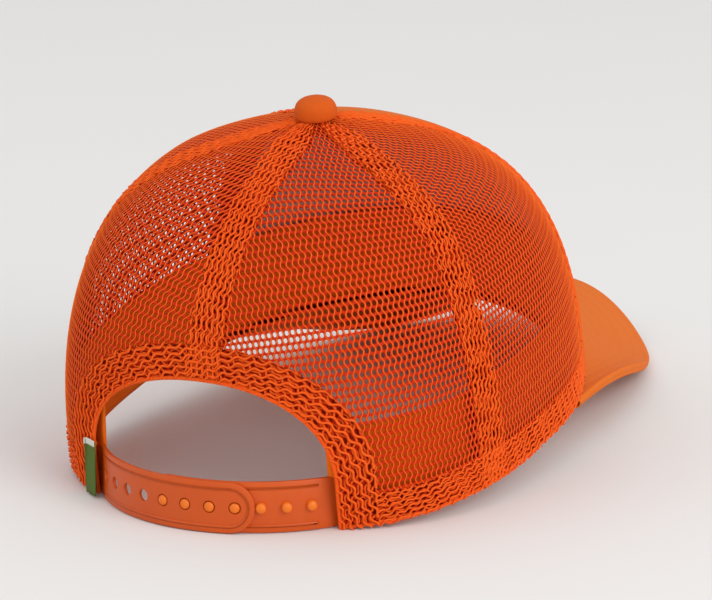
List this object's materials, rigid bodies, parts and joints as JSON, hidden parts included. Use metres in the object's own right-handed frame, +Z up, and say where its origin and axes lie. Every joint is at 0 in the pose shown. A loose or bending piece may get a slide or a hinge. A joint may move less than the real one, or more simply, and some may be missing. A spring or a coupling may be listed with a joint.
{
  "type": "trucker mesh cap",
  "caption": "Adjustable cap with a cloth front, mesh sides and back, a curved peak, a cloth top button and a vinyl snap strap across the back opening.",
  "frame": {"origin": "on the surface that the cap rests on, under the middle of its bounding box", "axes": "+Z up, -Y towards the peak, +Y towards the back of the head, -X towards the wearer's right"},
  "size_m": [0.162, 0.3048, 0.125],
  "materials": {
    "polyester_mesh": "knitted open mesh, slight sheen",
    "folded_mesh": "several layers of knitted mesh, stitched",
    "cotton_twill": "fine brushed twill",
    "buckram": "stiff open-weave lining",
    "sweatband_cloth": "smooth plain weave",
    "peak_board_plastic": "moulded sheet",
    "strap_vinyl": "satin, slightly translucent vinyl",
    "rivet_metal": "painted steel",
    "woven_label": "bare woven ribbon"
  },
  "bodies": {
    "crown": {"arch_binding": "folded_mesh", "button": "cotton_twill", "button_rivet": "rivet_metal", "front_lining": "buckram", "front_panel": "cotton_twill", "label_tab": "woven_label", "peak_board": "peak_board_plastic", "peak_top_cloth": "cotton_twill", "peak_under_cloth": "cotton_twill", "rear_panel_left": "polyester_mesh", "rear_panel_right": "polyester_mesh", "rim_hem_left": "folded_mesh", "rim_hem_right": "folded_mesh", "seam_band_back": "folded_mesh", "seam_band_front_left": "folded_mesh", "seam_band_front_right": "folded_mesh", "seam_band_rear_left": "folded_mesh", "seam_band_rear_right": "folded_mesh", "side_panel_left": "polyester_mesh", "side_panel_right": "polyester_mesh", "strap_tail_left": "strap_vinyl", "strap_tail_right": "strap_vinyl", "sweatband": "sweatband_cloth"},
    "hole_strap": {"strap_with_holes": "strap_vinyl"},
    "peg_strap": {"strap_with_pegs": "strap_vinyl"}
  },
  "joints": [
    {"name": "hole_strap_swing", "type": "hinge", "parent": "crown", "child": "hole_strap", "pos_m": [0.043, 0.12851, 0.0088], "axis": [0, 0, -1], "range_deg": [0, 45], "stiffness_Nm_per_rad": 0.01},
    {"name": "peg_strap_swing", "type": "hinge", "parent": "crown", "child": "peg_strap", "pos_m": [-0.043, 0.12592, 0.0088], "axis": [0, 0, -1], "range_deg": [0, 35], "stiffness_Nm_per_rad": 0.01}
  ]
}
